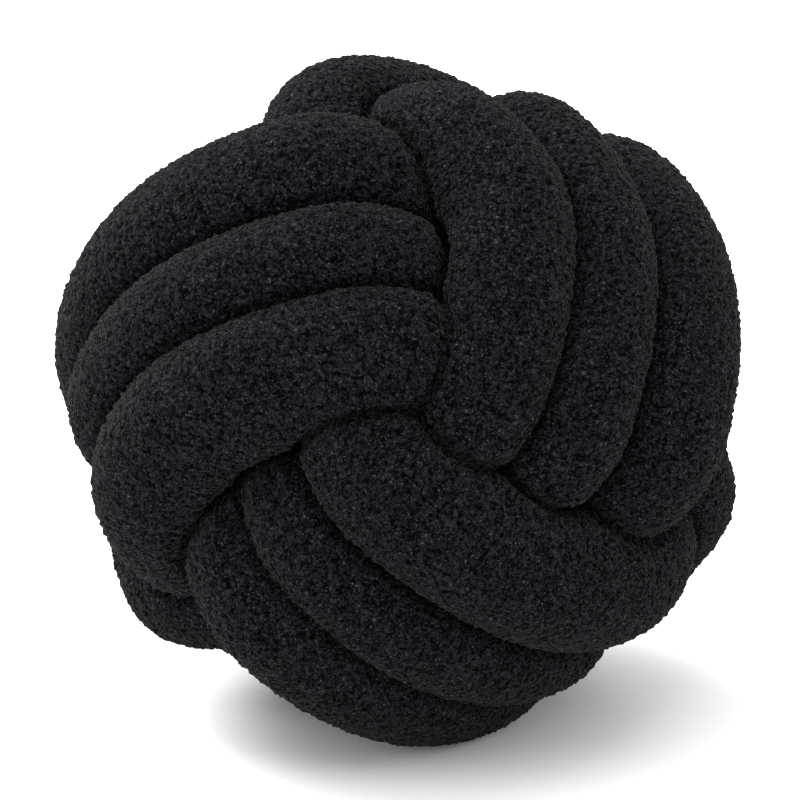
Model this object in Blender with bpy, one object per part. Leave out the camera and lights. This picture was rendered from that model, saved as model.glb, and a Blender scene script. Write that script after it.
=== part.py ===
"""Knot cushion: one stuffed boucle tube wound and pulled into a round knot.

The knot has nine turns, in three bands of three that cross like the three pairs of faces of a cube.
Every turn runs over the crown of its own two faces and dives under a neighbouring band in between.
The cube stands on one corner, so the cushion rests on three turns round its lowest corner, and the
opposite upper corner, where three bands meet, faces the front.
"""

import math
from typing import NamedTuple

import bmesh
import bpy
import numpy as np

NAME = "knot"

# Driving dimensions, in metres and degrees.
BALL_RADIUS = 0.150
KNOT_CENTRE = (0.0023, 0.0008, 0.1403)  # over the middle of the footprint
HIDDEN_RADIUS = 0.058  # from the knot's centre to the runs inside the ball
CORE_RADIUS = 0.113  # filling round those runs
DIVE_SWEEP = 42.0  # angle over which a turn goes from its crown to its hidden run, but for front tails
PINCH = 0.12  # share by which the hidden runs close up on each other
CORNER_RISE = math.degrees(math.asin(1 / math.sqrt(3)))  # of a cube's edges where it stands on a corner

# Fineness of the solid.
SECTIONS = 84
BEVEL_RESOLUTION = 10


def direction(bearing, rise):
    """Unit vector at a bearing round +Z from +X, lifted by a rise, both in degrees."""
    level = math.cos(math.radians(rise))
    return np.array(
        (
            level * math.cos(math.radians(bearing)),
            level * math.sin(math.radians(bearing)),
            math.sin(math.radians(rise)),
        )
    )


LEFT_FACE = direction(210, CORNER_RISE)
RIGHT_FACE = direction(330, CORNER_RISE)
LOWER_FACE = direction(270, -CORNER_RISE)


class Band(NamedTuple):
    """Three turns side by side: the face they cross, the way they run over it and the way they stack."""

    face: np.ndarray
    run: np.ndarray
    stack: np.ndarray


BANDS = {
    "left": Band(LEFT_FACE, RIGHT_FACE, LOWER_FACE),
    "right": Band(RIGHT_FACE, LOWER_FACE, LEFT_FACE),
    "lower": Band(LOWER_FACE, LEFT_FACE, RIGHT_FACE),
}


class Turn(NamedTuple):
    """One turn of the tube.

    front and back are its places along the band's stack on its two crowns, radius the tube's own, and
    rise how far its crowns stand above the ball's radius. The drifts are how far its head and its tail
    slide along the stack, and swell how much fatter it grows at its tail. The dives are the angles from
    a crown at which the tube starts to go under: at the head and the tail of the front crown, and at
    both ends of the back one. The tail takes its own sweep to go under.
    """

    band: str
    front: float
    back: float
    radius: float
    rise: float
    head_drift: float
    tail_drift: float
    swell: float
    head_dive: float
    tail_dive: float
    tail_sweep: float
    back_dive: float


TURNS = (
    # band     front    back   radius   rise  head and tail drift  swell  head tail sweep back
    Turn("left", 0.057, 0.027, 0.0310, 0.004, 0.000, 0.012, 0.004, 34, 20, 78, 29),
    Turn("left", 0.015, -0.005, 0.0280, -0.002, 0.000, 0.008, 0.000, 31, 30, 62, 30),
    Turn("left", -0.030, -0.049, 0.0340, 0.004, 0.000, 0.009, 0.000, 24, 52, 42, 30),
    Turn("right", 0.047, 0.023, 0.0295, 0.001, 0.000, 0.027, 0.001, 31, 28, 50, 25),
    Turn("right", 0.005, -0.014, 0.0275, -0.001, 0.000, 0.015, 0.000, 30, 38, 42, 16),
    Turn("right", -0.043, -0.061, 0.0340, 0.008, 0.000, 0.008, 0.000, 22, 38, 50, 16),
    Turn("lower", 0.056, 0.032, 0.0330, 0.002, -0.007, -0.003, 0.009, 28, 44, 40, 36),
    Turn("lower", 0.008, -0.010, 0.0265, -0.005, 0.000, 0.000, 0.000, 25, 45, 42, 16),
    Turn("lower", -0.031, -0.050, 0.0340, 0.002, 0.004, 0.000, 0.000, 19, 50, 42, 16),
)


def clear_scene():
    for obj in list(bpy.data.objects):
        bpy.data.objects.remove(obj, do_unlink=True)


def new_collection(name):
    collection = bpy.data.collections.new(name)
    bpy.context.scene.collection.children.link(collection)
    return collection


def ease(share):
    """Soft step from 0 to 1, level at both ends."""
    share = np.clip(share, 0.0, 1.0)
    return share * share * (3.0 - 2.0 * share)


def crown_share(angle, start, sweep):
    """1 up to the angle from a crown where a turn starts to go under, and 0 one sweep later."""
    return ease((start + sweep - angle) / sweep)


def turn_path(turn):
    """Centre line of one turn, as points about the knot's centre, and the tube's radius at each."""
    band = BANDS[turn.band]
    angle = np.linspace(-180.0, 180.0, SECTIONS, endpoint=False)
    from_back = np.abs((angle + 360.0) % 360.0 - 180.0)
    head = crown_share(angle, turn.head_dive, DIVE_SWEEP)
    tail = crown_share(-angle, turn.tail_dive, turn.tail_sweep)
    front = np.where(angle >= 0.0, head, tail)
    crown = np.maximum(front, crown_share(from_back, turn.back_dive, DIVE_SWEEP))
    across, along = np.cos(np.radians(angle)), np.sin(np.radians(angle))
    girth = turn.radius + turn.swell * ease(-along)
    drift = np.where(along > 0.0, turn.head_drift, turn.tail_drift)
    shift = 0.5 * (turn.front + turn.back) + 0.5 * (turn.front - turn.back) * across
    shift = shift + drift * ease(np.abs(along)) * front
    shift = shift * (1.0 - PINCH * (1.0 - crown))
    crown_radius = np.sqrt((BALL_RADIUS + turn.rise - girth) ** 2 - shift**2)
    radius = HIDDEN_RADIUS + (crown_radius - HIDDEN_RADIUS) * crown
    path = (
        np.outer(radius * across, band.face)
        + np.outer(radius * along, band.run)
        + np.outer(shift, band.stack)
    )
    return path, girth


def mesh_from_curve(curve_object, collection):
    """Turns a curve object into a mesh object of the same name and removes the curve."""
    graph = bpy.context.evaluated_depsgraph_get()
    mesh = bpy.data.meshes.new_from_object(curve_object.evaluated_get(graph))
    welded = bmesh.new()
    welded.from_mesh(mesh)
    bmesh.ops.remove_doubles(welded, verts=welded.verts, dist=1e-6)
    bmesh.ops.recalc_face_normals(welded, faces=welded.faces)
    welded.to_mesh(mesh)
    welded.free()
    name = curve_object.name
    placed = curve_object.matrix_world.copy()
    bpy.data.objects.remove(curve_object, do_unlink=True)
    mesh_object = bpy.data.objects.new(name, mesh)
    mesh_object.matrix_world = placed
    collection.objects.link(mesh_object)
    return mesh_object


def add_turn(name, turn, collection):
    """One turn as a closed tube, kept as a hidden helper that the knot is joined from."""
    path, girth = turn_path(turn)
    path = path + np.array(KNOT_CENTRE)
    curve = bpy.data.curves.new(name, "CURVE")
    curve.dimensions = "3D"
    curve.bevel_depth = turn.radius
    curve.bevel_resolution = BEVEL_RESOLUTION
    spline = curve.splines.new("POLY")
    spline.points.add(len(path) - 1)
    spline.points.foreach_set("co", np.column_stack((path, np.ones(len(path)))).ravel())
    spline.points.foreach_set("radius", girth / turn.radius)
    spline.use_cyclic_u = True
    curve_object = bpy.data.objects.new(name, curve)
    collection.objects.link(curve_object)
    bpy.context.view_layer.update()
    return hide_helper(mesh_from_curve(curve_object, collection))


def hide_helper(helper):
    helper.hide_render = True
    helper.display_type = "WIRE"
    return helper


def add_seat_cutter(collection):
    """Block under the floor plane; it leaves the small flat spots that the cushion rests on."""
    cutter = bmesh.new()
    bmesh.ops.create_cube(cutter, size=2.0 * BALL_RADIUS)
    mesh = bpy.data.meshes.new("seat_cutter")
    cutter.to_mesh(mesh)
    cutter.free()
    block = bpy.data.objects.new("seat_cutter", mesh)
    block.location = (0.0, 0.0, -BALL_RADIUS)
    collection.objects.link(block)
    return hide_helper(block)


def add_core(name, collection):
    """Filling in the middle of the ball, out of sight behind the turns."""
    core = bmesh.new()
    bmesh.ops.create_icosphere(core, subdivisions=3, radius=CORE_RADIUS)
    bmesh.ops.translate(core, verts=core.verts, vec=KNOT_CENTRE)
    mesh = bpy.data.meshes.new(name)
    core.to_mesh(mesh)
    core.free()
    body = bpy.data.objects.new(name, mesh)
    collection.objects.link(body)
    return body


def add_boolean(body, other, operation):
    step = body.modifiers.new(f"{operation.lower()} {other.name}", "BOOLEAN")
    step.operation = operation
    step.object = other
    step.use_self = operation == "UNION"


def boucle_material():
    material = bpy.data.materials.new("black boucle cloth")
    material.use_nodes = True
    shader = material.node_tree.nodes["Principled BSDF"]
    shader.inputs["Base Color"].default_value = (0.016, 0.016, 0.019, 1.0)
    shader.inputs["Roughness"].default_value = 0.95
    shader.inputs["Metallic"].default_value = 0.0
    shader.inputs["Sheen Weight"].default_value = 0.4
    return material


def main():
    clear_scene()
    parts = new_collection("knot cushion")
    helpers = new_collection("turns and cutter")
    knot = add_core(NAME, parts)
    for number, turn in enumerate(TURNS):
        tube = add_turn(f"{turn.band}_turn_{number % 3 + 1}", turn, helpers)
        add_boolean(knot, tube, "UNION")
    add_boolean(knot, add_seat_cutter(helpers), "DIFFERENCE")
    knot.data.materials.append(boucle_material())
    knot.data.shade_smooth()


main()
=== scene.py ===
"""Knot cushion of black boucle: nine plump turns of one stuffed tube, woven over and under each other.

Each turn is a closed surface carried along its own path. The turns press into each other, so every
surface gives way at its neighbours, and the cloth's curls stand on it as real relief.
"""

import logging
import math
from dataclasses import dataclass
from enum import Enum

import bpy
import numpy as np
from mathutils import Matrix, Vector


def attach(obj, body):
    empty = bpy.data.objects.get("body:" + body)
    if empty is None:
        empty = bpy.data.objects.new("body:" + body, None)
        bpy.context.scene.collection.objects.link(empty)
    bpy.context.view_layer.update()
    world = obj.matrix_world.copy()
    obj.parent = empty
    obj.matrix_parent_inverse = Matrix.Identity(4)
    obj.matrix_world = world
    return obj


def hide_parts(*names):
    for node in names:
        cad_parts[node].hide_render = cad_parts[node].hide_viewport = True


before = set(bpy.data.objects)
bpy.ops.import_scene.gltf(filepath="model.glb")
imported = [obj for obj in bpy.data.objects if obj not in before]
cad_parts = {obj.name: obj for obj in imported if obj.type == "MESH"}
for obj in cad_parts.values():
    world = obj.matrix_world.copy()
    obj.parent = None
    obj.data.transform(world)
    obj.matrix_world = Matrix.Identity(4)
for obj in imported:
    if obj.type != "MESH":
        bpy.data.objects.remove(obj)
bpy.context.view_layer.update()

LOG = logging.getLogger("knot_cushion")

BODY = "root"
CAD_NODE = "knot"

BALL_RADIUS = 0.150  # of the whole knot, in metres
KNOT_CENTRE = (0.0023, 0.0008, 0.1403)  # over the middle of the footprint, as in the solid
CORNER_RISE = math.degrees(math.asin(1 / math.sqrt(3)))  # of a cube's edges where it stands on a corner
FRONT_BEARING = 270.0  # of the camera from the knot, in degrees round +Z from +X
RARELY_SHOWN = 0.15  # of what the best-shown row shows; a row that shows less gets steps twice as long
NOISE_ROUGHNESS = 0.6  # how strong each finer layer of a noise is against the one before


def direction(bearing: float, rise: float) -> np.ndarray:
    """Unit vector at a bearing round +Z from +X, lifted by a rise.

    Args:
        bearing: angle round +Z, in degrees.
        rise: angle above the level, in degrees.

    Returns:
        The vector (cos rise cos bearing, cos rise sin bearing, sin rise).
    """
    level = math.cos(math.radians(rise))
    return np.array(
        (
            level * math.cos(math.radians(bearing)),
            level * math.sin(math.radians(bearing)),
            math.sin(math.radians(rise)),
        )
    )


def unit(vectors: np.ndarray) -> np.ndarray:
    """Vectors over their own lengths, along the last axis."""
    return vectors / np.linalg.norm(vectors, axis=-1, keepdims=True)


def ease(share: np.ndarray) -> np.ndarray:
    """Soft step, three times the share squared less twice its cube, level at 0 and 1."""
    share = np.clip(share, 0.0, 1.0)
    return share * share * (3.0 - 2.0 * share)


def soft_positive(value: np.ndarray, width: float) -> np.ndarray:
    """Half of the value plus the root of its square and the width's square: its positive part, rounded."""
    return 0.5 * (value + np.sqrt(value * value + width * width))


def refine(grid: np.ndarray, places: np.ndarray, axis: int) -> np.ndarray:
    """Reads a closed ring of rows between its rows, with the Catmull-Rom cubic through four of them.

    Args:
        grid: the array, closed on itself along the axis.
        places: where to read it, counted in rows.
        axis: the axis that the rows lie along.

    Returns:
        The array with one row for each place along that axis.
    """
    rows = grid.shape[axis]
    first = np.floor(places).astype(int)
    t = places - first
    weights = (
        0.5 * (-t + 2 * t**2 - t**3),
        0.5 * (2 - 5 * t**2 + 3 * t**3),
        0.5 * (t + 4 * t**2 - 3 * t**3),
        0.5 * (-(t**2) + t**3),
    )
    shape = [1] * grid.ndim
    shape[axis] = len(places)
    total = 0.0
    for step, weight in enumerate(weights, start=-1):
        total = total + np.take(grid, (first + step) % rows, axis=axis) * weight.reshape(shape)
    return total


def spread(lengths: np.ndarray, share: np.ndarray, fine: float, coarse: float) -> np.ndarray:
    """Places along a closed ring of rows, close together where it shows and far apart where it is hidden.

    Args:
        lengths: the length from each row to the next, in metres.
        share: the share of each row that shows.
        fine: step where the row shows well, in metres; twice that where it is rarely shown.
        coarse: step where it is hidden, in metres.

    Returns:
        The places, counted in rows, from 0 up to and without the ring's own count.
    """
    near = np.maximum(share, np.maximum(np.roll(share, 1), np.roll(share, -1)))
    well_shown = near > RARELY_SHOWN * share.max()
    step = np.where(well_shown, fine, np.where(near > 0.0, 2.0 * fine, coarse))
    total = np.concatenate(([0.0], np.cumsum(lengths / step)))
    count = int(math.ceil(total[-1]))
    return np.interp(np.arange(count) * total[-1] / count, total, np.arange(len(total)))


@dataclass(frozen=True)
class CellField:
    """A field of points, one near the middle of each cell, that wraps round both ways.

    cells are its counts along and across, and jitter is the share of a cell that a point may stray in.
    """

    seed: int
    cells: tuple[int, int]
    jitter: float

    def nearest(self, first: np.ndarray, second: np.ndarray) -> tuple[np.ndarray, np.ndarray]:
        """Distance to the nearest point of the field, over the nine cells round each place.

        Args:
            first: places along the field, counted in cells.
            second: places across it, counted in cells.

        Returns:
            The distance in cells, and the nearest point's own random number from 0 to 1.
        """
        rng = np.random.default_rng(self.seed)
        shift = (rng.random(self.cells + (2,)) - 0.5) * self.jitter + 0.5
        value = rng.random(self.cells)
        cell_first, cell_second = np.floor(first).astype(int), np.floor(second).astype(int)
        part_first, part_second = first - cell_first, second - cell_second
        best = np.full(first.shape, np.inf)
        owner = np.zeros(first.shape)
        for step_first in (-1, 0, 1):
            for step_second in (-1, 0, 1):
                row = (cell_first + step_first) % self.cells[0]
                column = (cell_second + step_second) % self.cells[1]
                point = shift[row, column]
                squared = (step_first + point[..., 0] - part_first) ** 2
                squared += (step_second + point[..., 1] - part_second) ** 2
                closer = squared < best
                best = np.where(closer, squared, best)
                owner = np.where(closer, value[row, column], owner)
        return np.sqrt(best), owner


class Face(Enum):
    """Faces of the cube that the knot is wound round, as a bearing and a rise in degrees."""

    LEFT = (210.0, CORNER_RISE)
    RIGHT = (330.0, CORNER_RISE)
    LOWER = (270.0, -CORNER_RISE)

    @property
    def out(self) -> np.ndarray:
        """Unit vector out of the face."""
        return direction(*self.value)


class Band(Enum):
    """Three turns side by side, as the faces that they cross, run towards and stack towards."""

    LEFT = (Face.LEFT, Face.RIGHT, Face.LOWER)
    RIGHT = (Face.RIGHT, Face.LOWER, Face.LEFT)
    LOWER = (Face.LOWER, Face.LEFT, Face.RIGHT)


@dataclass(frozen=True)
class Winding:
    """Sizes that all the turns share, in metres and degrees.

    hidden_radius is how far from the knot's centre the tube runs inside the ball, dive_sweep the angle
    over which it goes down there from a crown, and pinch the share by which those runs close up on each
    other. The form is worked out in rows along a turn, from its hidden seam, and columns around it.
    """

    ball_radius: float = BALL_RADIUS
    hidden_radius: float = 0.058
    dive_sweep: float = 42.0
    pinch: float = 0.12
    rows: int = 264
    columns: int = 60
    seam: float = 90.0

    def angles(self) -> np.ndarray:
        """Angles round a turn, in degrees, from its hidden seam."""
        return self.seam + np.arange(self.rows) * 360.0 / self.rows

    def around(self) -> np.ndarray:
        """Angles round the tube, in radians, from its inner side; half-way lies outwards."""
        return -math.pi + np.arange(self.columns) * 2.0 * math.pi / self.columns


@dataclass(frozen=True)
class Turn:
    """One turn of the tube, as its places in its band and the way it dives, in metres and degrees.

    front and back are its places along the band's stack on its two crowns, radius the tube's own, and
    rise how far its crowns stand above the ball's radius. The drifts are how far its head and its tail
    slide along the stack, and tail_swell how much fatter it grows at its tail. The dives are the angles
    from a crown at which the tube starts to go under: at the head and the tail of the front crown, and
    at both ends of the back one. The tail takes its own sweep to go under.
    """

    name: str
    band: Band
    front: float
    back: float
    radius: float
    rise: float
    head_drift: float
    tail_drift: float
    tail_swell: float
    head_dive: float
    tail_dive: float
    tail_sweep: float
    back_dive: float
    winding: Winding = Winding()

    def dive(self, angle: np.ndarray, start: float, sweep: float) -> np.ndarray:
        """How far a turn lies on its crown: 1 up to where it starts to dive, and 0 one sweep later.

        Args:
            angle: angles from the crown's middle, in degrees.
            start: angle at which the dive starts, in degrees.
            sweep: angle that the dive takes, in degrees.

        Returns:
            The share, from 0 to 1.
        """
        return ease((start + sweep - angle) / sweep)

    def girth(self) -> np.ndarray:
        """The tube's radius plus a swell that eases in towards its tail, one for each angle."""
        towards_tail = -np.sin(np.radians(self.winding.angles()))
        return self.radius + self.tail_swell * ease(towards_tail)

    def path(self) -> np.ndarray:
        """Centre line about the knot's centre.

        On its crowns the line keeps the distance from the stack's axis at which the tube touches the
        ball's outline, and between them that distance eases down to the hidden radius. Its place along
        the stack goes from the front one to the back one, with its drifts and its pinch.

        Returns:
            One point for each of the winding's angles.
        """
        winding = self.winding
        angle = (winding.angles() + 180.0) % 360.0 - 180.0
        from_back = (angle + 360.0) % 360.0 - 180.0
        at_head = self.dive(angle, self.head_dive, winding.dive_sweep)
        at_tail = self.dive(-angle, self.tail_dive, self.tail_sweep)
        front = np.where(angle >= 0.0, at_head, at_tail)
        back = self.dive(np.abs(from_back), self.back_dive, winding.dive_sweep)
        crown = np.maximum(front, back)
        across, along = np.cos(np.radians(angle)), np.sin(np.radians(angle))
        shift = 0.5 * (self.front + self.back) + 0.5 * (self.front - self.back) * across
        drift = np.where(along > 0.0, self.head_drift, self.tail_drift)
        shift = shift + drift * ease(np.abs(along)) * front
        shift = shift * (1.0 - winding.pinch * (1.0 - crown))
        reach = winding.ball_radius + self.rise - self.girth()
        crown_radius = np.sqrt(reach**2 - shift**2)
        radius = winding.hidden_radius + (crown_radius - winding.hidden_radius) * crown
        face, run, stack = (side.out for side in self.band.value)
        return (
            np.outer(radius * across, face)
            + np.outer(radius * along, run)
            + np.outer(shift, stack)
        )

    def tube(self) -> np.ndarray:
        """Round tube on the centre line: the line plus the radius times a circle square to it.

        Returns:
            Points about the knot's centre, as rows along the line and columns around it.
        """
        line = self.path()
        ahead = unit(np.roll(line, -1, axis=0) - np.roll(line, 1, axis=0))
        outward = unit(line)
        outward = unit(outward - np.sum(outward * ahead, axis=1, keepdims=True) * ahead)
        sideways = np.cross(ahead, outward)
        around = self.winding.around()
        ring = (
            np.cos(around)[None, :, None] * outward[:, None, :]
            + np.sin(around)[None, :, None] * sideways[:, None, :]
        )
        return line[:, None, :] + self.girth()[:, None, None] * ring


TURNS = (
    # name, band, front, back, radius, rise, head drift, tail drift, tail swell, and in degrees: head dive,
    # tail dive, tail sweep, back dive
    Turn("left_front_turn", Band.LEFT, 0.057, 0.027, 0.031, 0.004, 0.0, 0.012, 0.004, 34, 20, 78, 29),
    Turn("left_middle_turn", Band.LEFT, 0.015, -0.005, 0.028, -0.002, 0.0, 0.008, 0.0, 31, 30, 62, 30),
    Turn("left_back_turn", Band.LEFT, -0.030, -0.049, 0.034, 0.004, 0.0, 0.009, 0.0, 24, 52, 42, 30),
    Turn("right_front_turn", Band.RIGHT, 0.047, 0.023, 0.0295, 0.001, 0.0, 0.027, 0.001, 31, 28, 50, 25),
    Turn("right_middle_turn", Band.RIGHT, 0.005, -0.014, 0.0275, -0.001, 0.0, 0.015, 0.0, 30, 38, 42, 16),
    Turn("right_back_turn", Band.RIGHT, -0.043, -0.061, 0.034, 0.008, 0.0, 0.008, 0.0, 22, 38, 50, 16),
    Turn("lower_front_turn", Band.LOWER, 0.056, 0.032, 0.033, 0.002, -0.007, -0.003, 0.009, 28, 44, 40, 36),
    Turn("lower_middle_turn", Band.LOWER, 0.008, -0.010, 0.0265, -0.005, 0.0, 0.0, 0.0, 25, 45, 42, 16),
    Turn("lower_back_turn", Band.LOWER, -0.031, -0.050, 0.034, 0.002, 0.004, 0.0, 0.0, 19, 50, 42, 16),
)


@dataclass(frozen=True)
class CurlLayer:
    """One layer of the boucle's relief: a soft curl in each cell, each with its own height.

    pitch is the size of a cell and height that of the tallest curl, in metres. jitter is the share of a
    cell that a curl's middle may stray in, spread a curl's radius in cells, and unevenness the share by
    which the lowest curl falls short of the tallest.
    """

    pitch: float
    height: float
    jitter: float = 0.9
    spread: float = 0.72
    unevenness: float = 0.5
    least_cells: int = 3

    def relief(self, along: np.ndarray, around: np.ndarray, seed: int) -> np.ndarray:
        """Domes: one less the square of distance over the curl's radius, times the curl's own height.

        Args:
            along: distance along the tube at each row, in metres, closed by one more row.
            around: distance around it at each column, in metres, closed by one more column.
            seed: number that the curls' places are drawn from.

        Returns:
            Relief from 0 in the gaps to 1 on the tallest curls, without the closing row and column.
        """
        cells = (
            max(self.least_cells, round(along[-1] / self.pitch)),
            max(self.least_cells, round((around[-1] - around[0]) / self.pitch)),
        )
        first = along[:-1] * cells[0] / along[-1]
        second = (around[:-1] - around[0]) * cells[1] / (around[-1] - around[0])
        first, second = np.meshgrid(first, second, indexing="ij")
        distance, own = CellField(seed, cells, self.jitter).nearest(first, second)
        dome = 1.0 - np.clip(distance / self.spread, 0.0, 1.0) ** 2
        return dome * (1.0 - self.unevenness * own)


@dataclass(frozen=True)
class Pile:
    """Relief of the boucle: small curls that stand on clumps of curls.

    sink is the share of the full height by which the deepest gaps lie under the turn's form, and
    clump_seeds is added to a turn's seed for the draws of its clumps.
    """

    curls: CurlLayer = CurlLayer(pitch=0.0026, height=0.0017, unevenness=0.75)
    clumps: CurlLayer = CurlLayer(pitch=0.0048, height=0.0006)
    sink: float = 0.45
    clump_seeds: int = 100

    def relief(self, along: np.ndarray, around: np.ndarray, seed: int) -> np.ndarray:
        """Height of both layers together, in metres, from 0 in the deepest gaps.

        Args:
            along: distance along the tube at each row, in metres, closed by one more row.
            around: distance around it at each column, in metres, closed by one more column.
            seed: number that the layers' places are drawn from.

        Returns:
            The height at each row and column.
        """
        curls = self.curls.relief(along, around, seed)
        clumps = self.clumps.relief(along, around, self.clump_seeds + seed)
        return self.curls.height * curls + self.clumps.height * clumps

    @property
    def full_height(self) -> float:
        """Height of the tallest curl on the tallest clump."""
        return self.curls.height + self.clumps.height


@dataclass(frozen=True)
class NodeBench:
    """Adds nodes to one material's tree and joins them."""

    tree: bpy.types.NodeTree

    def add(self, kind: str, output: str, inputs: dict, **settings: object) -> bpy.types.NodeSocket:
        """Adds one node.

        Args:
            kind: the node's type.
            output: name of the output to hand back.
            inputs: for each input's name or number, its value or the socket that feeds it.
            settings: the node's own properties.

        Returns:
            The output socket.
        """
        node = self.tree.nodes.new(kind)
        for name, value in settings.items():
            setattr(node, name, value)
        for name, value in inputs.items():
            if isinstance(value, bpy.types.NodeSocket):
                self.tree.links.new(value, node.inputs[name])
            else:
                node.inputs[name].default_value = value
        return node.outputs[output]

    def math(self, operation: str, *values: object) -> bpy.types.NodeSocket:
        """Adds one Math node on the values, each a number or a socket, and gives its result."""
        return self.add("ShaderNodeMath", "Value", dict(enumerate(values)), operation=operation)

    def ramp(self, value: object, low: float, high: float, to: tuple = (0.0, 1.0)) -> bpy.types.NodeSocket:
        """Maps a value between two limits smoothly to the given range, and holds it outside them."""
        inputs = {"Value": value, "From Min": low, "From Max": high, "To Min": to[0], "To Max": to[1]}
        return self.add("ShaderNodeMapRange", "Result", inputs, interpolation_type="SMOOTHSTEP")

    def noise(
        self, place: object, size: float, detail: float = 1.0, output: str = "Fac"
    ) -> bpy.types.NodeSocket:
        """Adds a Noise Texture whose lumps are about the given size, in metres.

        Args:
            place: the coordinates.
            size: the lumps' size.
            detail: how many finer layers it has.
            output: name of the output to hand back.

        Returns:
            The output socket.
        """
        inputs = {"Vector": place, "Scale": 1.0 / size, "Detail": detail, "Roughness": NOISE_ROUGHNESS}
        return self.add("ShaderNodeTexNoise", output, inputs)

    def cells(self, place: object, size: float) -> bpy.types.NodeSocket:
        """Adds a Voronoi Texture of cells about the given size, in metres, and gives their distance."""
        return self.add("ShaderNodeTexVoronoi", "Distance", {"Vector": place, "Scale": 1.0 / size})

    def mix(self, share: object, first: object, second: object) -> bpy.types.NodeSocket:
        """Mixes two colours by a share, each of them a value or a socket."""
        inputs = {"Factor": share, "A": first, "B": second}
        return self.add("ShaderNodeMix", "Result", inputs, data_type="RGBA")


@dataclass(frozen=True)
class BoucleFinish:
    """Black boucle cloth: near-black curls with painted shade in their gaps and painted glints on them,
    a soft sheen and a fine, fibrous bump.

    Sizes and the bump's depth are in metres. wander, the distance that the noise pulls the pattern
    about, is counted in curls, and the painted glints' width in fibres. A range is the two values that a
    pattern is read between, from none of it to all of it. A weight is what a pattern counts for in the
    shade, which goes from the painted gap shade's colour to the curls' over the shade's range: the curls'
    cells and the pile make it painted shade in the gaps, the clumps and fibres random tone. roughness is
    the least and the most.
    """

    curl_colour: tuple[float, float, float, float] = (0.0153, 0.0167, 0.0230, 1.0)
    warm_colour: tuple[float, float, float, float] = (0.0168, 0.0164, 0.0194, 1.0)
    # painted shade: the near-black colour put in the gaps between the curls
    painted_gap_shade_colour: tuple[float, float, float, float] = (0.0002, 0.0002, 0.0003, 1.0)
    # painted glints: the colour of small pale spots on the curls
    painted_glint_colour: tuple[float, float, float, float] = (0.055, 0.058, 0.066, 1.0)
    sheen_tint: tuple[float, float, float, float] = (1.0, 0.90, 0.81, 1.0)
    sheen_weight: float = 0.048
    sheen_roughness: float = 0.20
    specular: float = 0.01
    curl_size: float = 0.0016
    curl_range: tuple[float, float] = (0.85, 0.15)
    curl_weight: float = 0.70
    wander: float = 1.6
    clump_size: float = 0.0045
    clump_range: tuple[float, float] = (0.35, 0.60)
    clump_weight: float = 0.10
    fibre_size: float = 0.0007
    fibre_range: tuple[float, float] = (0.3, 0.7)
    fibre_weight: float = 2.20
    fibre_bump: float = 0.80
    # size and read range of the painted glints
    glint_width: float = 1.3
    glint_range: tuple[float, float] = (0.66, 0.76)
    patch_size: float = 0.025
    pile_weight: float = 0.90
    shade_range: tuple[float, float] = (1.25, 2.80)
    roughness: tuple[float, float] = (0.55, 0.85)
    bump_depth: float = 0.0006

    def curled_place(self, bench: NodeBench, place: bpy.types.NodeSocket) -> bpy.types.NodeSocket:
        """Coordinates that a noise pulls about, so that the curls and fibres lie in no even pattern.

        Args:
            bench: the bench that adds the nodes.
            place: the even coordinates.

        Returns:
            The place plus the noise about its mean, times the wander and the curls' size.
        """
        reach = self.wander * self.curl_size
        noise = bench.noise(place, reach, output="Color")
        middle = (0.5, 0.5, 0.5)
        centred = bench.add("ShaderNodeVectorMath", "Vector", {0: noise, 1: middle}, operation="SUBTRACT")
        inputs = {0: centred, 1: (reach,) * 3, 2: place}
        return bench.add("ShaderNodeVectorMath", "Vector", inputs, operation="MULTIPLY_ADD")

    def material(self) -> bpy.types.Material:
        """Builds the cloth's material on the cushion's own coordinates, which are in metres.

        The mesh brings two values of its own: its relief as pile, which darkens the gaps as painted shade,
        and the light that its creases keep, a painted crease shade that darkens the colour.

        Returns:
            The material.
        """
        material = bpy.data.materials.new("black_boucle")
        material.use_nodes = True
        bench = NodeBench(material.node_tree)
        shader = material.node_tree.nodes["Principled BSDF"]
        shader.inputs["Sheen Weight"].default_value = self.sheen_weight
        shader.inputs["Sheen Roughness"].default_value = self.sheen_roughness
        shader.inputs["Sheen Tint"].default_value = self.sheen_tint
        shader.inputs["Specular IOR Level"].default_value = self.specular

        place = bench.add("ShaderNodeTexCoord", "Object", {})
        curled = self.curled_place(bench, place)
        # painted shade: each cell darkens towards its edge, the gap between curls; the same pattern also
        # shapes the bump
        curls = bench.ramp(bench.cells(curled, self.curl_size), *self.curl_range)
        clumps = bench.ramp(bench.noise(place, self.clump_size), *self.clump_range)
        fibres = bench.noise(curled, self.fibre_size)
        # painted glints: a fine noise read high gives small pale spots on the curls
        painted_glints = bench.noise(curled, self.glint_width * self.fibre_size, detail=0.0)
        painted_glints = bench.ramp(painted_glints, *self.glint_range)
        pile = bench.add("ShaderNodeAttribute", "Fac", {}, attribute_name="pile")
        # light: painted crease shade, the share of the colour that each point keeps near its neighbours
        light = bench.add("ShaderNodeAttribute", "Fac", {}, attribute_name="light")

        bump = {"Height": bench.math("MULTIPLY_ADD", fibres, self.fibre_bump, curls)}
        bump.update({"Strength": 1.0, "Distance": self.bump_depth})
        normal = bench.add("ShaderNodeBump", "Normal", bump)
        # The shade: the curls' cells and the pile are painted shade in the gaps, the clumps and fibres
        # random tone.
        shade = bench.math("MULTIPLY", curls, self.curl_weight)
        shade = bench.math("MULTIPLY_ADD", clumps, self.clump_weight, shade)
        shade = bench.math("MULTIPLY_ADD", fibres, self.fibre_weight, shade)
        shade = bench.math("MULTIPLY_ADD", pile, self.pile_weight, shade)
        # painted crease shade: the light attribute darkens the shade along the creases
        lit = bench.math("MULTIPLY", bench.ramp(shade, *self.shade_range), light)
        hue = bench.mix(bench.noise(place, self.patch_size), self.curl_colour, self.warm_colour)
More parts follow.
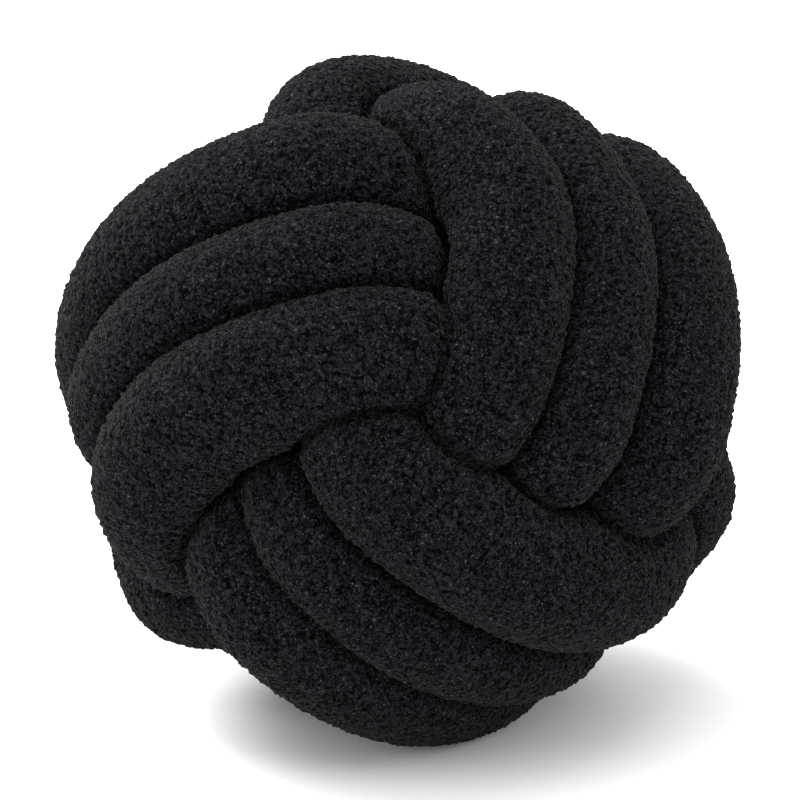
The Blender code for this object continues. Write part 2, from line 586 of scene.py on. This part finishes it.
        # painted shade: the shade mixes the near-black gap colour into the hue
        colour = bench.mix(lit, self.painted_gap_shade_colour, hue)
        # painted glints: mixed in only where the painted shade leaves the curls lit
        colour = bench.mix(bench.math("MULTIPLY", painted_glints, lit), colour, self.painted_glint_colour)
        rough = bench.ramp(fibres, *self.fibre_range, to=self.roughness)
        links = material.node_tree.links
        links.new(colour, shader.inputs["Base Color"])
        links.new(rough, shader.inputs["Roughness"])
        links.new(normal, shader.inputs["Normal"])
        return material


@dataclass(frozen=True)
class ClothSurface:
    """A turn's finished surface.

    points are its grid, closed both ways, pile its relief from 0 to 1, and light the share of its colour
    that its creases keep, a painted crease shade. along and around are the distances of its rows and
    columns on the cloth, in metres, with one more of each to close it.
    """

    points: np.ndarray
    pile: np.ndarray
    light: np.ndarray
    along: np.ndarray
    around: np.ndarray

    def mesh(self, name: str) -> bpy.types.Mesh:
        """Makes the mesh: one quad for each step of the grid, closed both ways.

        Args:
            name: the mesh's name.

        Returns:
            The mesh, with the cloth's UV map in metres, and the pile and the light at its points.
        """
        rows, columns = self.points.shape[:2]
        row, column = np.meshgrid(np.arange(rows), np.arange(columns), indexing="ij")
        corner_rows = np.stack((row, row, row + 1, row + 1), axis=-1).reshape(-1)
        corner_columns = np.stack((column, column + 1, column + 1, column), axis=-1).reshape(-1)
        corners = (corner_rows % rows) * columns + corner_columns % columns
        mesh = bpy.data.meshes.new(name)
        mesh.vertices.add(rows * columns)
        mesh.vertices.foreach_set("co", self.points.astype(np.float32).ravel())
        mesh.loops.add(len(corners))
        mesh.loops.foreach_set("vertex_index", corners.astype(np.int32))
        mesh.polygons.add(rows * columns)
        mesh.polygons.foreach_set("loop_start", np.arange(0, len(corners), 4, dtype=np.int32))
        mesh.polygons.foreach_set("use_smooth", np.ones(rows * columns, dtype=bool))
        cloth = mesh.uv_layers.new(name="cloth")
        places = np.column_stack((self.along[corner_rows], self.around[corner_columns]))
        cloth.uv.foreach_set("vector", places.astype(np.float32).ravel())
        for label, values in (("pile", self.pile), ("light", self.light)):
            layer = mesh.attributes.new(label, "FLOAT", "POINT")
            layer.data.foreach_set("value", values.astype(np.float32).ravel())
        mesh.update(calc_edges=True)
        mesh.validate()
        return mesh


@dataclass(frozen=True)
class Contact:
    """How a turn's cloth gives way at a neighbour, in metres.

    width is how softly it starts to give, tuck how far it is drawn in at the crease, and reach how far
    from the crease that starts. shade is the share of the cloth's colour that the crease darkens away,
    as painted shade.
    """

    width: float
    tuck: float
    reach: float
    shade: float


@dataclass(frozen=True)
class Form:
    """A turn's smooth form: its points, which of them show, and the painted crease shade at each one."""

    points: np.ndarray
    shown: np.ndarray
    light: np.ndarray


@dataclass
class Knot:
    """The whole knot: nine turns that press into each other and rest on the floor.

    beside is the contact of two turns in one band, and across that of turns in two bands. give is the
    share of their common depth by which a turn moves away, give_limit the most that it moves, and blend
    how softly the nearest place on a neighbour's line changes. A point shows where it lies less than
    shown_margin deep in any neighbour and outside core_radius, and only what shows gets the fine step.
    floor_width is how softly the cloth meets the floor, and fill how tightly the tube is stuffed.
    """

    centre: tuple[float, float, float] = KNOT_CENTRE
    turns: tuple[Turn, ...] = TURNS
    pile: Pile = Pile()
    finish: BoucleFinish = BoucleFinish()
    beside: Contact = Contact(width=0.0045, tuck=0.0010, reach=0.0045, shade=0.34)
    across: Contact = Contact(width=0.0035, tuck=0.0024, reach=0.0040, shade=0.42)
    give: float = 0.60
    give_limit: float = 0.016
    blend: float = 0.002
    shown_margin: float = 0.0015
    core_radius: float = 0.100
    fine_step: float = 0.00122
    coarse_step: float = 0.0060
    floor_width: float = 0.0010
    fill: float = 0.9

    def press(self, points: np.ndarray, other: Turn) -> tuple[np.ndarray, np.ndarray]:
        """How deep points lie inside a neighbouring turn: its radius less their distance from its line.

        The neighbour's nearby places all count for both, the nearest of them most.

        Args:
            points: the points about the knot's centre, one a row.
            other: the neighbouring turn.

        Returns:
            The depth, negative outside, and the unit vectors away from the neighbour's line.
        """
        line = other.path()
        squared = (
            np.sum(points**2, axis=1)[:, None]
            + np.sum(line**2, axis=1)[None, :]
            - 2.0 * points @ line.T
        )
        distances = np.sqrt(np.maximum(squared, 0.0))
        nearest = distances.min(axis=1)
        weights = np.exp((nearest[:, None] - distances) / self.blend)
        weights /= weights.sum(axis=1, keepdims=True)
        return weights @ other.girth() - nearest, unit(points - weights @ line)

    def form(self, turn: Turn) -> Form:
        """A turn's smooth form: its round tube, moved away from each neighbour that it presses into.

        The move is a share of the depth's rounded positive part, up to a limit, so the two surfaces
        meet between them. Next to the crease the cloth is also drawn in towards the tube's own line,
        and painted shade darkens its colour there.

        Args:
            turn: the turn.

        Returns:
            The form about the knot's centre.
        """
        tube = turn.tube()
        points = tube.reshape(-1, 3)
        inward = unit(turn.path()[:, None, :] - tube).reshape(-1, 3)
        move = np.zeros_like(points)
        tuck = np.zeros(len(points))
        light = np.ones(len(points))
        deepest = np.full(len(points), -np.inf)
        for other in self.turns:
            if other is turn:
                continue
            contact = self.beside if other.band is turn.band else self.across
            depth, away = self.press(points, other)
            deepest = np.maximum(deepest, depth)
            size = self.give * soft_positive(depth, contact.width)
            size = self.give_limit * np.tanh(size / self.give_limit)
            move += size[:, None] * away
            close = ease(1.0 + depth / contact.reach)
            tuck = np.maximum(tuck, contact.tuck * close)
            # painted crease shade: the share of the colour that the point keeps near this neighbour
            light *= 1.0 - contact.shade * close
        shown = (deepest < self.shown_margin) & (np.linalg.norm(points, axis=1) > self.core_radius)
        points = points + move + tuck[:, None] * inward
        ring = tube.shape[:2]
        return Form(points.reshape(tube.shape), shown.reshape(ring), light.reshape(ring))

    def surface(self, turn: Turn, seed: int) -> ClothSurface:
        """A turn's finished surface: its form on a fine grid, raised along its normals by the pile.

        Args:
            turn: the turn.
            seed: number that the curls' places are drawn from.

        Returns:
            The surface, in the frame of the part.
        """
        smooth = self.form(turn)
        form, shown = smooth.points, smooth.shown
        middle = form.shape[1] // 2
        lengths = np.linalg.norm(np.roll(form, -1, axis=0) - form, axis=2)[:, middle]
        girths = np.full(form.shape[1], 2.0 * math.pi * turn.radius / form.shape[1])
        rows = spread(lengths, shown.mean(axis=1), self.fine_step, self.coarse_step)
        columns = spread(girths, shown.mean(axis=0), self.fine_step, self.coarse_step)
        points = refine(refine(form, rows, 0), columns, 1)
        light = refine(refine(smooth.light, rows, 0), columns, 1)
        total = np.concatenate(([0.0], np.cumsum(lengths)))
        along = np.interp(np.append(rows, len(lengths)), np.arange(len(total)), total)
        around = np.append(columns, len(girths)) * girths[0]
        height = self.pile.relief(along, around, seed)
        relief = height / self.pile.full_height
        step_along = np.roll(points, -1, axis=0) - np.roll(points, 1, axis=0)
        step_around = np.roll(points, -1, axis=1) - np.roll(points, 1, axis=1)
        normal = unit(np.cross(step_around, step_along))
        points = points + normal * (height - self.pile.sink * self.pile.full_height)[..., None]
        points = points + np.array(self.centre)
        points[..., 2] = soft_positive(points[..., 2], self.floor_width)
        return ClothSurface(points, relief, light, along, around)

    def build(self) -> list[bpy.types.Object]:
        """Builds and dresses every turn.

        Returns:
            The nine pieces.
        """
        material = self.finish.material()
        pieces = []
        for seed, turn in enumerate(self.turns, start=1):
            mesh = self.surface(turn, seed).mesh(turn.name)
            mesh.materials.append(material)
            piece = bpy.data.objects.new(turn.name, mesh)
            bpy.context.scene.collection.objects.link(piece)
            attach(piece, BODY)
            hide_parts(CAD_NODE)
            LOG.info("%s: %d triangles", turn.name, 2 * len(mesh.polygons))
            pieces.append(piece)
        return pieces


@dataclass(frozen=True)
class SoftLight:
    """One square light: the place where it stands and its side, in metres, and its power in watts."""

    name: str
    place: tuple[float, float, float]
    side: float
    power: float

    def add(self, target: tuple[float, float, float]) -> None:
        """Adds the light.

        Args:
            target: the point that it faces.
        """
        lamp = bpy.data.lights.new(self.name, "AREA")
        lamp.shape = "SQUARE"
        lamp.size = self.side
        lamp.energy = self.power
        holder = bpy.data.objects.new(self.name, lamp)
        holder.location = self.place
        holder.visible_camera = False
        aim = Vector(self.place) - Vector(target)
        holder.rotation_euler = aim.to_track_quat("Z", "Y").to_euler()
        bpy.context.scene.collection.objects.link(holder)


@dataclass(frozen=True)
class Studio:
    """Pale floor, soft light and the camera at the photograph's viewing angle.

    The camera stands at its distance from the target, in metres, raised by its elevation, in degrees.
    sensor is its width in millimetres, and sight how far it sees, in metres. In a square photograph of
    image_side pixels the ball is ball_pixels wide. The floor lies a little under the cushion, so that
    the two never coincide.
    """

    target: tuple[float, float, float] = KNOT_CENTRE
    elevation: float = 19.5
    distance: float = 3.0
    sensor: float = 36.0
    sight: float = 240.0
    image_side: float = 800.0
    ball_pixels: float = 686.0
    ball_radius: float = BALL_RADIUS
    floor_side: float = 60.0
    floor_drop: float = 0.0006
    floor_colour: tuple[float, float, float, float] = (0.95, 0.95, 0.95, 1.0)
    floor_roughness: float = 0.9
    sky_colour: tuple[float, float, float, float] = (1.0, 1.0, 1.0, 1.0)
    sky_strength: float = 1.35
    lights: tuple[SoftLight, ...] = (
        SoftLight("key_light", (-0.6, -0.9, 3.1), side=3.0, power=75.0),
        SoftLight("edge_light", (-1.6, 1.7, 1.9), side=1.6, power=115.0),
    )

    def add_floor(self) -> None:
        """Adds the floor, one large pale plane."""
        half = self.floor_side / 2.0
        mesh = bpy.data.meshes.new("floor")
        corners = [
            (-half, -half, -self.floor_drop),
            (half, -half, -self.floor_drop),
            (half, half, -self.floor_drop),
            (-half, half, -self.floor_drop),
        ]
        mesh.from_pydata(corners, [], [(0, 1, 2, 3)])
        material = bpy.data.materials.new("pale_floor")
        material.use_nodes = True
        shader = material.node_tree.nodes["Principled BSDF"]
        shader.inputs["Base Color"].default_value = self.floor_colour
        shader.inputs["Roughness"].default_value = self.floor_roughness
        mesh.materials.append(material)
        floor = bpy.data.objects.new("floor", mesh)
        bpy.context.scene.collection.objects.link(floor)

    def add_camera(self) -> None:
        """Adds the camera, with a lens that makes the ball as large as in the photograph."""
        angle = math.asin(self.ball_radius / self.distance)
        lens = self.sensor / 2.0 * (self.ball_pixels / self.image_side) / math.tan(angle)
        data = bpy.data.cameras.new("camera")
        data.sensor_width = self.sensor
        data.lens = lens
        data.clip_end = self.sight
        camera = bpy.data.objects.new("camera", data)
        camera.location = np.array(self.target) + self.distance * direction(FRONT_BEARING, self.elevation)
        camera.rotation_euler = (math.radians(90.0 - self.elevation), 0.0, 0.0)
        bpy.context.scene.collection.objects.link(camera)
        bpy.context.scene.camera = camera

    def add_sky(self) -> None:
        """Adds the even white light all round."""
        world = bpy.data.worlds.new("studio")
        world.use_nodes = True
        sky = world.node_tree.nodes["Background"]
        sky.inputs["Color"].default_value = self.sky_colour
        sky.inputs["Strength"].default_value = self.sky_strength
        bpy.context.scene.world = world

    def build(self) -> None:
        """Builds the whole studio."""
        bpy.context.scene.view_settings.view_transform = "Standard"
        self.add_sky()
        self.add_floor()
        for light in self.lights:
            light.add(self.target)
        self.add_camera()


def main() -> None:
    """Builds the cushion and the studio and reports each piece."""
    logging.basicConfig(level=logging.INFO, format="%(name)s: %(message)s")
    pieces = Knot().build()
    total = sum(2 * len(piece.data.polygons) for piece in pieces)
    LOG.info("%d pieces, %d triangles", len(pieces), total)
    Studio().build()


if __name__ == "__main__":
    main()
